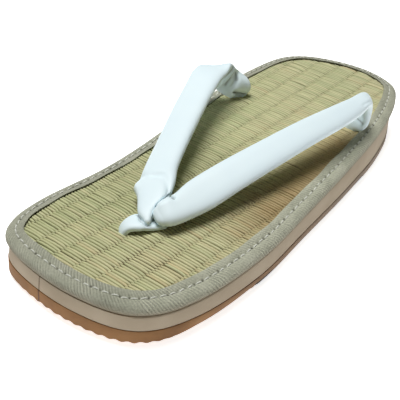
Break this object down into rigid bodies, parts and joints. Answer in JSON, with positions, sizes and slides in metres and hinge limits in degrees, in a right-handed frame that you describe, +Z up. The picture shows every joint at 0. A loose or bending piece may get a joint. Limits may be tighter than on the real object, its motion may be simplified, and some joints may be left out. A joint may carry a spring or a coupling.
{
  "type": "zori sandal",
  "caption": "Flat thong sandal for a left foot: rush footbed with sewn cloth binding on a foam wedge and rubber outsole, held on by padded straps that meet in a V at a front loop",
  "frame": {"origin": "on the floor, under the middle of the sandal's width and length", "axes": "+Z up, +Y from toe to heel, +X towards the little-toe side"},
  "size_m": [0.0998, 0.256, 0.049],
  "materials": {
    "outsole_rubber": "matt orange-brown sheet rubber",
    "wedge_foam": "matt beige closed-cell foam",
    "woven_rush": "dry straw-green rush, satin along the stems",
    "binding_tape": "grey-green twill tape, sewn",
    "strap_vinyl": "smooth white padded vinyl, satin"
  },
  "bodies": {
    "root": {"outsole": "outsole_rubber", "midsole": "wedge_foam", "footbed": "woven_rush", "binding": "binding_tape", "straps": "strap_vinyl", "toe_loop": "strap_vinyl"}
  },
  "joints": []
}
